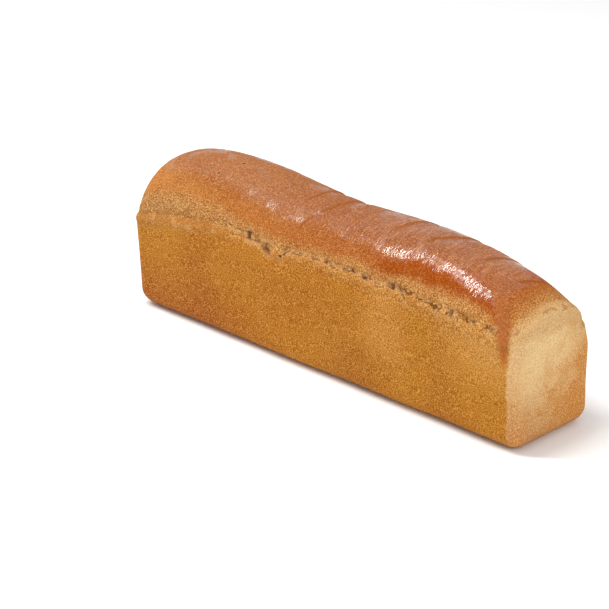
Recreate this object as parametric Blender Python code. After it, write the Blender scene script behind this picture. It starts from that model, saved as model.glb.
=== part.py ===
"""A long tin loaf: one uncut loaf of white bread, baked in an open rectangular tin.

The tin shapes the flat base, the four walls and their rounded corners. Above the
rim the dough has burst along a tear that runs round the loaf, and has risen into
an arched crown. The crown is scored across and falls away towards both ends.

X runs along the loaf, Y across it and Z up. The origin is the middle of the base.
"""

import math
from functools import lru_cache

import bmesh
import bpy
from mathutils import Vector, noise

# Driving dimensions, in metres
RIM_LENGTH = 0.400           # between the end walls, at the height of the tin's rim
RIM_WIDTH = 0.092            # between the long walls, at the same height
RIM_HEIGHT = 0.075           # of the tin's rim above the base
CROWN_RISE = 0.059           # of the crown's ridge above the rim, at its highest
BASE_WIDTH = 0.083
END_LEAN = 0.0045            # the right end wall leans in this much on its way up

# Roundings of the tin
SHOULDER = 0.007             # height over which the walls close in above the rim
SHOULDER_START = 0.008       # and how far below the rim they begin to
LEFT_CORNER_RADIUS = 0.012   # of the upright corners
RIGHT_CORNER_RADIUS = 0.009
CORNER_GROWTH = 0.013        # the right corners' radius grows by this much
CORNER_GROWTH_HEIGHTS = (0.055, 0.090)  # between these heights
FOOT_RADIUS = 0.0135         # where the walls meet the base
FOOT_CORNER_SHARE = 0.6      # share of their radius that the corners lose at the base

# The crown is a superellipse arch in both directions
ARCH_POWER = 2.3             # across the loaf
LEFT_POWER = 5.0             # along it: the left end stays full
RIGHT_POWER = 2.8            # and the right end slopes away
RIGHT_ROUNDING = 0.011       # the crown's ends are this much rounder in plan
LEFT_ROUNDING = 0.004

# The ridge's height at places along the loaf, as a share of the full rise: the
# oven spring was strongest at the left, and the longest score sank the middle
RIDGE = [
    (-0.200, 1.06),
    (-0.130, 1.05),
    (-0.085, 1.01),
    (-0.050, 0.935),
    (-0.005, 0.872),
    (0.030, 0.885),
    (0.075, 0.918),
    (0.120, 0.918),
    (0.165, 0.86),
    (0.200, 0.82),
]

# The tear between the walls and the crown
TEAR_LIFT_LEFT = 0.004       # its height above the rim at the left corners
TEAR_LIFT_MIDDLE = 0.020     # half way along the long walls
TEAR_LIFT_RIGHT = 0.010      # at the right corners
TEAR_END_RISE = 0.012        # and how much higher it runs at the middle of an end
TEAR_END_PLACES = (0.165, 0.190)  # the extra rise comes in between these places
TEAR_WANDER = 0.0025         # how far it strays up and down
TEAR_DEPTH = 0.0016
TEAR_SPREAD = 0.0024
TEAR_ROUGHNESS = 0.7         # share by which its depth varies
CALM_PLACES = (0.184, 0.194)  # between these it fades towards the right end
CALM_SHARE = 0.8
LIP = 0.0006                 # the walls' edge swells out just below the tear
LIP_BELOW = 0.0045
LIP_SPREAD = 0.003
LEDGE = 0.0012               # and the crown's edge stands in from the long walls
END_LEDGE = 0.0028           # and further in from the left end wall
END_LEDGE_PLACES = (-0.186, -0.194)
LEDGE_SOFT = 0.002           # height over which the edge steps in
END_LEDGE_SOFT = 0.008

# Scores across the crown: place on the ridge, slant, bend, front and back end as
# shares of the half width, and depth
SCORES = [
    (-0.0275, 0.02, 0.0, -0.30, 0.85, 0.0010),
    (-0.0040, 0.15, -8.0, -0.78, 0.85, 0.0012),
    (0.0290, 0.20, 0.0, -0.68, -0.20, 0.0005),
    (0.0640, 0.22, 0.0, -0.42, 0.85, 0.0011),
    (0.1010, 0.45, -6.0, -0.40, 0.85, 0.0011),
    (0.1390, 0.20, 0.0, -0.10, 0.80, 0.0007),
    (0.1680, 0.20, 0.0, -0.05, 0.80, 0.0008),
]
SCORE_DIP = 0.0012           # length of a score's sharp side
SCORE_RUN = 0.014            # and of the side where the crust climbs back
SCORE_FADE = 0.11            # share of the half width over which its ends fade
SCORE_WANDER = 0.0012

# Slow waves in the walls and the crown, and the sizes of the loaf's slow noises
UNEVEN = 0.0007
WALL_WAVES = 0.045
CROWN_WAVES = 0.035
TEAR_WAVES = 0.035
TEAR_RAGS = 0.012
SCORE_WAVES = 0.020

# The crest is the top of the crown, inside the seam between the walls and the crown
CREST_INSET = 0.007          # of its outline from the loaf's
CREST_PULL = 0.011           # and further in from the right end
CREST_PULL_START = 0.090
CREST_RADIUS = 0.012
CREST_CALM = (0.93, 0.99)    # the scores fade out between these shares of the crest

# Cells of the cage along and across the loaf, then up the foot, the wall and the seam
CELLS_ALONG = 104
CELLS_ACROSS = 16
FOOT_CELLS = 3
WALL_CELLS = 3
SEAM_CELLS = 6
CELLS_UP = FOOT_CELLS + WALL_CELLS + SEAM_CELLS
CROWDING = 1.05              # how strongly the cells crowd towards the edges, radians
SEAM_BELOW = 0.006           # the seam's cells begin this far below the tear
SEAM_CROWDING = 1.4          # and get larger upwards with this power


def clear_scene():
    for obj in list(bpy.data.objects):
        bpy.data.objects.remove(obj, do_unlink=True)


def smoothstep(low, high, value):
    """A soft step from 0 at low to 1 at high, which may be the smaller of the two."""
    t = min(max((value - low) / (high - low), 0.0), 1.0)
    return t * t * (3.0 - 2.0 * t)


def bell(value, spread):
    return math.exp(-(value / spread) ** 2)


def wave(x, y, z, size, seed):
    """Slow noise between -1 and 1, with features of about the given size."""
    return noise.noise(Vector((x / size + seed, y / size - seed, z / size + 0.5 * seed)))


def curve(table, x):
    """A value at x on a smooth curve through the places that a table gives."""
    last = len(table) - 1
    part = 0
    while part < last - 1 and x > table[part + 1][0]:
        part += 1
    slopes = []
    for index in (part, part + 1):
        before = table[max(index - 1, 0)]
        after = table[min(index + 1, last)]
        slopes.append((after[1] - before[1]) / (after[0] - before[0]))
    start, low = table[part]
    end, high = table[part + 1]
    t = min(max((x - start) / (end - start), 0.0), 1.0)
    bends = slopes[0] * t * (1.0 - t) ** 2 - slopes[1] * t * t * (1.0 - t)
    return low + (high - low) * smoothstep(0.0, 1.0, t) + (end - start) * bends


def between(table, x):
    """A value at x, smoothly between the places that a table gives."""
    for (start, low), (end, high) in zip(table, table[1:]):
        if x <= end:
            return low + (high - low) * smoothstep(start, end, x)
    return table[-1][1]


def arch(fraction, power):
    """Height of a unit superellipse arch at a fraction of its half span."""
    fraction = min(abs(fraction), 1.0)
    return (1.0 - fraction ** power) ** (1.0 / power)


def crown_height(x, y):
    """Height of the smooth crown above the base."""
    across = y / (0.5 * RIM_WIDTH)
    power = LEFT_POWER if x < 0.0 else RIGHT_POWER
    rounding = LEFT_ROUNDING if x < 0.0 else RIGHT_ROUNDING
    reach = 0.5 * RIM_LENGTH - rounding * abs(across) ** 3
    ridge = CROWN_RISE * curve(RIDGE, x)
    return RIM_HEIGHT + ridge * arch(x / reach, power) * arch(across, ARCH_POWER)


def tear_height(x, y):
    """Height of the tear above the base, at a place on the loaf's outline."""
    along = min(abs(x) / (0.5 * RIM_LENGTH), 1.0)
    across = min(abs(y) / (0.5 * RIM_WIDTH), 1.0)
    corner = TEAR_LIFT_LEFT if x < 0.0 else TEAR_LIFT_RIGHT
    lift = corner + (TEAR_LIFT_MIDDLE - corner) * (1.0 - along ** 3)
    lift += TEAR_END_RISE * (1.0 - across ** 2) * smoothstep(*TEAR_END_PLACES, abs(x))
    lift += TEAR_WANDER * wave(x, y, 0.0, TEAR_WAVES, 3.0)
    return RIM_HEIGHT + lift


def outline(u, v, length, width, radius):
    """A place in a filled rounded rectangle and its outward direction.

    u and v run from -1 to 1 along the sides of the plain rectangle.
    """
    x = 0.5 * length * u
    y = 0.5 * width * v
    inner_x = min(max(x, -0.5 * length + radius), 0.5 * length - radius)
    inner_y = min(max(y, -0.5 * width + radius), 0.5 * width - radius)
    reach = max(abs(x - inner_x), abs(y - inner_y))
    outward = Vector((x - inner_x, y - inner_y)).normalized()
    return Vector((inner_x, inner_y)) + outward * reach, outward


def crest_place(u, v):
    """A place within the crest's outline, seen from above."""
    length = RIM_LENGTH - 2.0 * CREST_INSET
    width = RIM_WIDTH - 2.0 * CREST_INSET
    place, outward = outline(u, v, length, width, CREST_RADIUS)
    place.x -= CREST_PULL * smoothstep(CREST_PULL_START, 0.5 * length, place.x)
    return place


def crest_height(place):
    """The crown's height where its edge stands in from the walls by the ledge."""
    end_ledge = END_LEDGE if place.x < 0.0 else LEDGE
    stretch_x = RIM_LENGTH / (RIM_LENGTH - 2.0 * end_ledge)
    stretch_y = RIM_WIDTH / (RIM_WIDTH - 2.0 * LEDGE)
    return crown_height(place.x * stretch_x, place.y * stretch_y)


def rounded_in(place, crest, height):
    """The place between the outline and the crest where the crown has a height."""
    low = 0.0
    high = 1.0
    for halving in range(14):
        middle = 0.5 * (low + high)
        probe = place.lerp(crest, middle)
        if crown_height(probe.x, probe.y) < height:
            low = middle
        else:
            high = middle
    low *= smoothstep(RIM_HEIGHT - SHOULDER_START, RIM_HEIGHT + SHOULDER, height)
    return place.lerp(crest, low)


def torn_inset(place, height, tear):
    """What the tear, the lip and the ledge take off the outline at a height."""
    above = height - tear
    rough = 1.0 - 0.5 * TEAR_ROUGHNESS
    rough += TEAR_ROUGHNESS * wave(place.x, place.y, 0.0, TEAR_RAGS, 9.0)
    calm = 1.0 - CALM_SHARE * smoothstep(*CALM_PLACES, place.x)
    groove = TEAR_DEPTH * rough * calm * bell(above, TEAR_SPREAD)
    swelling = LIP * bell(above + LIP_BELOW, LIP_SPREAD)
    at_end = smoothstep(*END_LEDGE_PLACES, place.x)
    ledge = LEDGE + (END_LEDGE - LEDGE) * at_end
    soft = LEDGE_SOFT + (END_LEDGE_SOFT - LEDGE_SOFT) * at_end
    return groove + ledge * smoothstep(-0.5 * soft, soft, above) - swelling


def ring_height(level, tear, top):
    """Height of one ring of cells: on the foot's rounding, the wall or the seam."""
    if level <= FOOT_CELLS:
        return FOOT_RADIUS * (1.0 - math.cos(0.5 * math.pi * level / FOOT_CELLS))
    wall_top = tear - SEAM_BELOW
    if level <= FOOT_CELLS + WALL_CELLS:
        return FOOT_RADIUS + (wall_top - FOOT_RADIUS) * (level - FOOT_CELLS) / WALL_CELLS
    up = (level - FOOT_CELLS - WALL_CELLS) / SEAM_CELLS
    return wall_top + (top - wall_top) * up ** SEAM_CROWDING


def wall_place(u, v, height, tear, foot=0.0):
    """A place on the walls or the seam at a height, seen from above."""
    taper = min(height / RIM_HEIGHT, 1.0)
    width = BASE_WIDTH + (RIM_WIDTH - BASE_WIDTH) * taper
    radius = LEFT_CORNER_RADIUS
    if u > 0.0:
        growth = smoothstep(*CORNER_GROWTH_HEIGHTS, height)
        radius = RIGHT_CORNER_RADIUS + CORNER_GROWTH * growth
    radius *= 1.0 - FOOT_CORNER_SHARE * foot / FOOT_RADIUS
    place, outward = outline(u, v, RIM_LENGTH - 2.0 * foot, width - 2.0 * foot, radius)
    inset = torn_inset(place, height, tear)
    if foot < FOOT_RADIUS:
        inset -= UNEVEN * wave(place.x, place.y, height, WALL_WAVES, 5.0)
    if height > RIM_HEIGHT - SHOULDER_START:
        place = rounded_in(place, crest_place(u, v), height)
    lean = END_LEAN * (1.0 - taper) * smoothstep(0.0, 0.5 * RIM_LENGTH, place.x)
    return place - outward * inset + Vector((lean, 0.0))


@lru_cache(maxsize=None)
def seam_ends(u, v):
    """The heights of the tear and the crest, and what the wall's place still lacks
    of the crest's when it has reached the crest's height."""
    place, outward = outline(u, v, RIM_LENGTH, RIM_WIDTH, LEFT_CORNER_RADIUS)
    tear = tear_height(place.x, place.y)
    crest = crest_place(u, v)
    top = crest_height(crest)
    return tear, top, crest - wall_place(u, v, top, tear)


def ring_point(u, v, level):
    """A place on the loaf's walls or on the crest's edge."""
    tear, top, missing = seam_ends(u, v)
    height = ring_height(level, tear, top)
    foot = 0.0
    if level < FOOT_CELLS:
        foot = FOOT_RADIUS * (1.0 - math.sin(0.5 * math.pi * level / FOOT_CELLS))
    place = wall_place(u, v, height, tear, foot)
    place += missing * smoothstep(tear, top, height)
    return Vector((place.x, place.y, height))


def score_place(score, y):
    """Where along the loaf a score runs at a distance y from the ridge."""
    place, slant, bend = score[:3]
    return place + slant * y + bend * y * y


def score_reach(score, y):
    """A score's strength at a distance y from the ridge: it fades at both ends."""
    front, back = score[3:5]
    side = y / (0.5 * RIM_WIDTH)
    reach = smoothstep(front - SCORE_FADE, front + SCORE_FADE, side)
    return reach * smoothstep(back + 0.5 * SCORE_FADE, back - 0.9 * SCORE_FADE, side)


def score_drop(x, y):
    """How far the scores lower the crown: a sharp step that climbs back slowly."""
    drop = 0.0
    for score in SCORES:
        past = x - score_place(score, y)
        if not -0.3 * SCORE_RUN < past < 1.2 * SCORE_RUN:
            continue
        past -= SCORE_WANDER * wave(x, y, 0.0, SCORE_WAVES, 7.0)
        run = smoothstep(-0.7 * SCORE_DIP, SCORE_DIP, past)
        run *= smoothstep(SCORE_RUN, SCORE_DIP, past)
        drop += score[5] * score_reach(score, y) * run
    return drop


def crest_point(u, v):
    """A place on the crown, inside the crest's edge."""
    place = crest_place(u, v)
    edge = max(abs(u), abs(v))
    height = crest_height(place)
    height -= score_drop(place.x, place.y) * (1.0 - smoothstep(*CREST_CALM, edge))
    calm = smoothstep(1.0, 0.6, edge)
    height += UNEVEN * wave(place.x, place.y, height, CROWN_WAVES, 11.0) * calm
    return Vector((place.x, place.y, height))


def crowd(t):
    """Spread cells evenly over an arch: closer together towards -1 and 1."""
    return math.sin(CROWDING * t) / math.sin(CROWDING)


def crust_material():
    material = bpy.data.materials.new("golden_crust")
    material.use_nodes = True
    shader = material.node_tree.nodes["Principled BSDF"]
    shader.inputs["Base Color"].default_value = (0.46, 0.20, 0.06, 1.0)
    shader.inputs["Roughness"].default_value = 0.55
    shader.inputs["Metallic"].default_value = 0.0
    material.diffuse_color = (0.46, 0.20, 0.06, 1.0)
    return material


def split_edges(mesh, axis, cells):
    """Divide every edge of the cage that runs along an axis into equal cells."""
    running = []
    for edge in mesh.edges:
        direction = edge.verts[1].co - edge.verts[0].co
        if abs(direction[axis]) > 1.5:
            running.append(edge)
    bmesh.ops.subdivide_edges(mesh, edges=running, cuts=cells - 1, use_grid_fill=True)


def build_loaf():
    mesh = bmesh.new()
    bmesh.ops.create_cube(mesh, size=2.0)
    split_edges(mesh, 0, CELLS_ALONG)
    split_edges(mesh, 1, CELLS_ACROSS)
    split_edges(mesh, 2, CELLS_UP)

    floor_faces = [face for face in mesh.faces if face.normal.z < -0.9]
    bmesh.ops.dissolve_faces(mesh, faces=floor_faces, use_verts=False)

    places = {}
    for vert in mesh.verts:
        u = round(crowd(vert.co.x), 6)
        v = round(crowd(vert.co.y), 6)
        level = round(0.5 * (vert.co.z + 1.0) * CELLS_UP)
        if max(abs(vert.co.x), abs(vert.co.y)) > 0.9999:
            places[vert] = ring_point(u, v, level)
        else:
            places[vert] = crest_point(u, v)
    middle_x = 0.5 * (min(p.x for p in places.values()) + max(p.x for p in places.values()))
    middle_y = 0.5 * (min(p.y for p in places.values()) + max(p.y for p in places.values()))
    for vert, place in places.items():
        vert.co = place - Vector((middle_x, middle_y, 0.0))

    bmesh.ops.recalc_face_normals(mesh, faces=mesh.faces)
    data = bpy.data.meshes.new("loaf")
    mesh.to_mesh(data)
    mesh.free()
    data.materials.append(crust_material())
    return bpy.data.objects.new("loaf", data)


clear_scene()
collection = bpy.data.collections.new("tin_loaf")
bpy.context.scene.collection.children.link(collection)
collection.objects.link(build_loaf())
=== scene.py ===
"""A long tin loaf on a pale floor: golden, stippled walls, a torn pale seam above
them and a glazed, scored crown. The loaf's form repeats the solid's with finer cells,
and the crust's relief is cut into it."""

import math
from functools import lru_cache

import bmesh
import bpy
from mathutils import Matrix, Vector, noise


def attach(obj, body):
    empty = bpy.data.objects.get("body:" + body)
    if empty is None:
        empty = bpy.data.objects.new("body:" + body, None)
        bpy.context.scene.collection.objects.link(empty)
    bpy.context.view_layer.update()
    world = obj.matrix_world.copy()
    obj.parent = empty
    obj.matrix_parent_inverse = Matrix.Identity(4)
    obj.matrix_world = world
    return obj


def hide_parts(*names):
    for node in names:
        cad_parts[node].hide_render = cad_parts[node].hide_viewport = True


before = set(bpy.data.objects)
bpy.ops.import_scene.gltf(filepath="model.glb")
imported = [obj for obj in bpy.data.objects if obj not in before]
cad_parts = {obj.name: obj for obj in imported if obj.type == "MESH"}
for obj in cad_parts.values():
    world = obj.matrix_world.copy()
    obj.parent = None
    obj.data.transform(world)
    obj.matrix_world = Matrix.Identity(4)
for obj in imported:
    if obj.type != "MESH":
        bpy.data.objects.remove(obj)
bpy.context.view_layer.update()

# ----------------------------------------------------- the loaf's sizes

RIM_LENGTH = 0.400           # between the end walls, at the height of the tin's rim
RIM_WIDTH = 0.092            # between the long walls, at the same height
RIM_HEIGHT = 0.075           # of the tin's rim above the base
CROWN_RISE = 0.059           # of the crown's ridge above the rim, at its highest
BASE_WIDTH = 0.083
END_LEAN = 0.0045            # the right end wall leans in this much on its way up

# Roundings of the tin
SHOULDER = 0.007             # height over which the walls close in above the rim
SHOULDER_START = 0.008       # and how far below the rim they begin to
LEFT_CORNER_RADIUS = 0.012   # of the upright corners
RIGHT_CORNER_RADIUS = 0.009
CORNER_GROWTH = 0.013        # the right corners' radius grows by this much
CORNER_GROWTH_HEIGHTS = (0.055, 0.090)  # between these heights
FOOT_RADIUS = 0.0135         # where the walls meet the base
FOOT_CORNER_SHARE = 0.6      # share of their radius that the corners lose at the base

# The crown is a superellipse arch in both directions
ARCH_POWER = 2.3             # across the loaf
LEFT_POWER = 5.0             # along it: the left end stays full
RIGHT_POWER = 2.8            # and the right end slopes away
RIGHT_ROUNDING = 0.011       # the crown's ends are this much rounder in plan
LEFT_ROUNDING = 0.004
PLAN_POWER = 3               # of that rounding, from the ridge to the long walls

# The ridge's height at places along the loaf, as a share of the full rise: the
# oven spring was strongest at the left, and the longest score sank the middle
RIDGE = [
    (-0.200, 1.06),
    (-0.130, 1.05),
    (-0.085, 1.01),
    (-0.050, 0.935),
    (-0.005, 0.872),
    (0.030, 0.885),
    (0.075, 0.918),
    (0.120, 0.918),
    (0.165, 0.86),
    (0.200, 0.82),
]

# The tear between the walls and the crown
TEAR_LIFT_LEFT = 0.004       # its height above the rim at the left corners
TEAR_LIFT_MIDDLE = 0.020     # half way along the long walls
TEAR_LIFT_RIGHT = 0.010      # at the right corners
TEAR_END_RISE = 0.012        # and how much higher it runs at the middle of an end
TEAR_END_PLACES = (0.165, 0.190)  # the extra rise comes in between these places
TEAR_POWER = 3               # how suddenly it falls towards the corners: long walls
TEAR_END_POWER = 2           # and ends
TEAR_WANDER = 0.0025         # how far it strays up and down
TEAR_DEPTH = 0.0016
TEAR_SPREAD = 0.0024
TEAR_ROUGHNESS = 0.7         # share by which its depth varies
CALM_PLACES = (0.184, 0.194)  # between these it fades towards the right end
CALM_SHARE = 0.8
LIP = 0.0006                 # the walls' edge swells out just below the tear
LIP_BELOW = 0.0045
LIP_SPREAD = 0.003
LEDGE = 0.0012               # and the crown's edge stands in from the long walls
END_LEDGE = 0.0028           # and further in from the left end wall
END_LEDGE_PLACES = (-0.186, -0.194)
LEDGE_SOFT = 0.002           # height over which the edge steps in
END_LEDGE_SOFT = 0.008

# Scores across the crown: place on the ridge, slant, bend, front and back end as
# shares of the half width, and depth
SCORES = [
    (-0.0275, 0.02, 0.0, -0.30, 0.85, 0.0010),
    (-0.0040, 0.15, -8.0, -0.78, 0.85, 0.0012),
    (0.0290, 0.20, 0.0, -0.68, -0.20, 0.0005),
    (0.0640, 0.22, 0.0, -0.42, 0.85, 0.0011),
    (0.1010, 0.45, -6.0, -0.40, 0.85, 0.0011),
    (0.1390, 0.20, 0.0, -0.10, 0.80, 0.0007),
    (0.1680, 0.20, 0.0, -0.05, 0.80, 0.0008),
]
SCORE_DIP = 0.0012           # length of a score's sharp side
SCORE_RUN = 0.014            # and of the side where the crust climbs back
SCORE_START = -0.7           # the sharp side starts this share of its length early
SCORE_SEARCH = (-0.3, 1.2)   # shares of the run beyond which nothing is lowered
SCORE_FADE = 0.11            # share of the half width over which its ends fade
BACK_FADE = (0.5, -0.9)      # shares of that between which the back end does
SCORE_WANDER = 0.0012

# Slow waves: the size of their features, and a seed that sets each apart
UNEVEN = 0.0007              # height of the waves in the walls and the crown
WALL_WAVES = (0.045, 5.0)
CROWN_WAVES = (0.035, 11.0)
TEAR_WAVES = (0.035, 3.0)
TEAR_RAGS = (0.012, 9.0)
SCORE_WAVES = (0.020, 7.0)

# The crest is the top of the crown, inside the seam between the walls and the crown
CREST_INSET = 0.007          # of its outline from the loaf's
CREST_PULL = 0.011           # and further in from the right end
CREST_PULL_START = 0.090
CREST_RADIUS = 0.012
CREST_CALM = (0.93, 0.99)    # the scores fade out between these shares of the crest
WAVE_CALM = (1.0, 0.6)       # and the waves between these
CREST_HALVINGS = 14          # steps in the search for the place of a height

# Pits and cracks along the torn seam: place along the loaf, height above the tear,
# length, height, tilt and depth
WOUNDS = [
    (-0.172, -0.004, 0.0012, 0.0030, 0.3, 0.0006),
    (-0.131, 0.007, 0.0020, 0.0012, -1.0, 0.0006),
    (-0.104, 0.005, 0.0030, 0.0012, -0.8, 0.0008),
    (-0.087, 0.005, 0.0050, 0.0013, -0.5, 0.0014),
    (-0.076, 0.003, 0.0050, 0.0011, -0.4, 0.0012),
    (-0.064, 0.001, 0.0050, 0.0036, -0.5, 0.0030),
    (-0.055, -0.001, 0.0050, 0.0016, -0.5, 0.0018),
    (-0.043, -0.003, 0.0076, 0.0052, -0.3, 0.0022),
    (-0.027, -0.006, 0.0026, 0.0050, -0.9, 0.0018),
    (-0.023, -0.001, 0.0050, 0.0022, 0.5, 0.0016),
    (-0.010, 0.000, 0.0070, 0.0012, 0.1, 0.0013),
    (0.006, 0.000, 0.0070, 0.0012, -0.1, 0.0013),
    (0.020, 0.001, 0.0070, 0.0013, -0.1, 0.0015),
    (0.033, 0.001, 0.0080, 0.0012, 0.0, 0.0015),
    (0.045, 0.001, 0.0050, 0.0011, -0.2, 0.0013),
    (0.057, 0.000, 0.0050, 0.0023, -0.2, 0.0021),
    (0.071, 0.000, 0.0060, 0.0010, 0.1, 0.0010),
    (0.084, 0.001, 0.0080, 0.0020, -0.1, 0.0023),
    (0.092, 0.001, 0.0040, 0.0014, -0.9, 0.0018),
    (0.098, -0.003, 0.0040, 0.0016, -1.0, 0.0018),
    (0.117, -0.001, 0.0040, 0.0010, 0.4, 0.0010),
    (0.130, -0.001, 0.0014, 0.0050, 0.2, 0.0017),
    (0.136, 0.002, 0.0030, 0.0010, -0.6, 0.0013),
    (0.142, -0.001, 0.0014, 0.0046, 0.2, 0.0016),
    (0.148, -0.003, 0.0030, 0.0012, -0.8, 0.0011),
    (0.161, 0.000, 0.0030, 0.0010, 0.3, 0.0008),
    (0.177, -0.001, 0.0024, 0.0024, 0.3, 0.0016),
]
WOUND_BAND = 0.016           # none lies further than this above or below the tear
WOUND_END = 0.191            # or further along than this
BACK_SHIFT = 0.018           # the back's are the front's turned round and moved along
WOUND_STRAY = 0.0015         # how far their edges stray along the loaf
WOUND_STRAY_UP = 0.0013      # and up and down
WOUND_OPEN = 0.75            # share of a wound that is always open
WOUND_RAGGED = 0.5           # and the share by which that varies

# Small pits in the crown: place along and across the loaf, and radius
CROWN_PITS = [
    (-0.152, -0.003, 0.0016),
    (-0.148, -0.012, 0.0013),
    (-0.131, -0.020, 0.0013),
    (-0.117, -0.024, 0.0015),
    (-0.107, -0.006, 0.0020),
]
CROWN_PIT_DEPTH = 0.0008
PITS_ABOVE = 0.110           # they all lie above this height
PITS_LEFT_OF = -0.090        # and to the left of this place
FOLD_WIDTH = 0.0011          # of the line of colour along a score's sharp side
FOLD_REACH = 4.0             # widths beyond which that line has faded out

# Fine noises: the size of their features along, across and up, and a seed
WOUND_SWAY = (0.0040, 0.0040, 0.0040, 21.0)
WOUND_SWAY_UP = (0.0036, 0.0036, 0.0036, 22.0)
WOUND_RAGS = (0.0018, 0.0018, 0.0018, 23.0)
DENTS = (0.009, 0.009, 0.009, 31.0)
STIPPLE = (0.0030, 0.0030, 0.0030, 32.0)
FIBRES = (0.0055, 0.0055, 0.0024, 33.0)
WRINKLES = (0.0060, 0.024, 0.024, 34.0)
BLISTERS = (0.0042, 0.0042, 0.0042, 35.0)
GLAZE_RAGS = (0.014, 0.014, 0.04, 41.0)

# How deep the relief is cut
DENT_CUT = 0.00012
STIPPLE_CUT = 0.00016
STIPPLE_FILLED = 0.00010     # of which the glaze fills this much
FIBRE_CUT = 0.00035          # in the torn seam alone
WRINKLE_CUT = 0.00013        # in the glazed crown alone
BLISTER_CUT = 0.00010
TORN_EDGE = (-0.004, 0.001)  # the torn seam begins between these heights above the tear
GLAZE_EDGE = (-0.002, 0.003)  # and the glaze this far below and above its own edge
SETTLED = 0.004              # the relief fades out within this height of the base

# How far above the tear the glaze begins, at places along the loaf
GLAZE_GAP = [
    (-0.200, 0.015),
    (-0.160, 0.019),
    (-0.105, 0.0175),
    (-0.068, 0.0090),
    (-0.030, 0.0060),
    (0.010, 0.0060),
    (0.050, 0.0090),
    (0.075, 0.0075),
    (0.095, 0.0105),
    (0.150, 0.0095),
    (0.170, 0.0080),
    (0.200, 0.0125),
]
GLAZE_STRAY = 0.0022         # how far the glaze's edge strays up and down

# The glaze has run down the front right corner
DRIP_PLACE = (0.1935, -0.0465)
DRIP_REACH = 0.0050
DRIP_LENGTH = 0.021
DRIP_START = (0.024, 0.010)  # heights above the tear between which it gathers
DRIP_SEARCH = 0.140          # nothing to the left of this place is near it

# The cage is a cube whose corners lie at -1 and 1 on each axis
CAGE_SIZE = 2.0
CAGE_EDGE = 0.9999           # a point further out than this lies on its sides
CAGE_BASE = -0.9             # a face that looks down by more than this is its base

# Cells of the fine crust: along, across and up
CELLS_ALONG = 300
CELLS_ACROSS = 84
FOOT_CELLS = 7
WALL_CELLS = 38
SEAM_CELLS = 26
CELLS_UP = FOOT_CELLS + WALL_CELLS + SEAM_CELLS
CROWDING = 1.05              # how much closer together they are towards the corners
SEAM_BELOW = 0.009           # the seam's cells begin this far below the tear
SEAM_CROWDING = 1.2          # and are closer together there


# -------------------------------------------------------- small helpers

def smoothstep(low, high, value):
    """A soft step from 0 at low to 1 at high, which may be the smaller of the two."""
    t = min(max((value - low) / (high - low), 0.0), 1.0)
    return t * t * (3.0 - 2.0 * t)


def bell(value, spread):
    """1 at 0, and next to nothing two spreads away."""
    return math.exp(-(value / spread) ** 2)


def wave(x, y, z, size, seed):
    """Slow noise between -1 and 1, with features of about the given size."""
    return noise.noise(Vector((x / size + seed, y / size - seed, z / size + 0.5 * seed)))


def grain(point, size_x, size_y, size_z, seed):
    """Noise between -1 and 1 whose features have their own size on each axis."""
    place = Vector((point.x / size_x + seed, point.y / size_y - seed, point.z / size_z))
    return noise.noise(place)


def between(table, x):
    """A value at x, smoothly between the places that a table gives."""
    for (start, low), (end, high) in zip(table, table[1:]):
        if x <= end:
            return low + (high - low) * smoothstep(start, end, x)
    return table[-1][1]


def curve(table, x):
    """A value at x on a smooth curve through the places that a table gives."""
    last = len(table) - 1
    part = 0
    while part < last - 1 and x > table[part + 1][0]:
        part += 1
    slopes = []
    for index in (part, part + 1):
        before = table[max(index - 1, 0)]
        after = table[min(index + 1, last)]
        slopes.append((after[1] - before[1]) / (after[0] - before[0]))
    start, low = table[part]
    end, high = table[part + 1]
    t = min(max((x - start) / (end - start), 0.0), 1.0)
    bends = slopes[0] * t * (1.0 - t) ** 2 - slopes[1] * t * t * (1.0 - t)
    return low + (high - low) * smoothstep(0.0, 1.0, t) + (end - start) * bends


# ------------------------------------------------- the form of the loaf

def arch(fraction, power):
    """Height of a unit superellipse arch at a fraction of its half span."""
    fraction = min(abs(fraction), 1.0)
    return (1.0 - fraction ** power) ** (1.0 / power)


def crown_height(x, y):
    """Height of the smooth crown above the base."""
    across = y / (0.5 * RIM_WIDTH)
    power = LEFT_POWER if x < 0.0 else RIGHT_POWER
    rounding = LEFT_ROUNDING if x < 0.0 else RIGHT_ROUNDING
    reach = 0.5 * RIM_LENGTH - rounding * abs(across) ** PLAN_POWER
    ridge = CROWN_RISE * curve(RIDGE, x)
    return RIM_HEIGHT + ridge * arch(x / reach, power) * arch(across, ARCH_POWER)


def tear_height(x, y):
    """Height of the tear above the base, at a place on the loaf's outline."""
    along = min(abs(x) / (0.5 * RIM_LENGTH), 1.0)
    across = min(abs(y) / (0.5 * RIM_WIDTH), 1.0)
    corner = TEAR_LIFT_LEFT if x < 0.0 else TEAR_LIFT_RIGHT
    lift = corner + (TEAR_LIFT_MIDDLE - corner) * (1.0 - along ** TEAR_POWER)
    at_end = smoothstep(*TEAR_END_PLACES, abs(x))
    lift += TEAR_END_RISE * (1.0 - across ** TEAR_END_POWER) * at_end
    lift += TEAR_WANDER * wave(x, y, 0.0, *TEAR_WAVES)
    return RIM_HEIGHT + lift


def outline(u, v, length, width, radius):
    """A place in a filled rounded rectangle and its outward direction.

    u and v run from -1 to 1 along the sides of the plain rectangle.
    """
    x = 0.5 * length * u
    y = 0.5 * width * v
    inner_x = min(max(x, -0.5 * length + radius), 0.5 * length - radius)
    inner_y = min(max(y, -0.5 * width + radius), 0.5 * width - radius)
    reach = max(abs(x - inner_x), abs(y - inner_y))
    outward = Vector((x - inner_x, y - inner_y)).normalized()
    return Vector((inner_x, inner_y)) + outward * reach, outward


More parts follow.
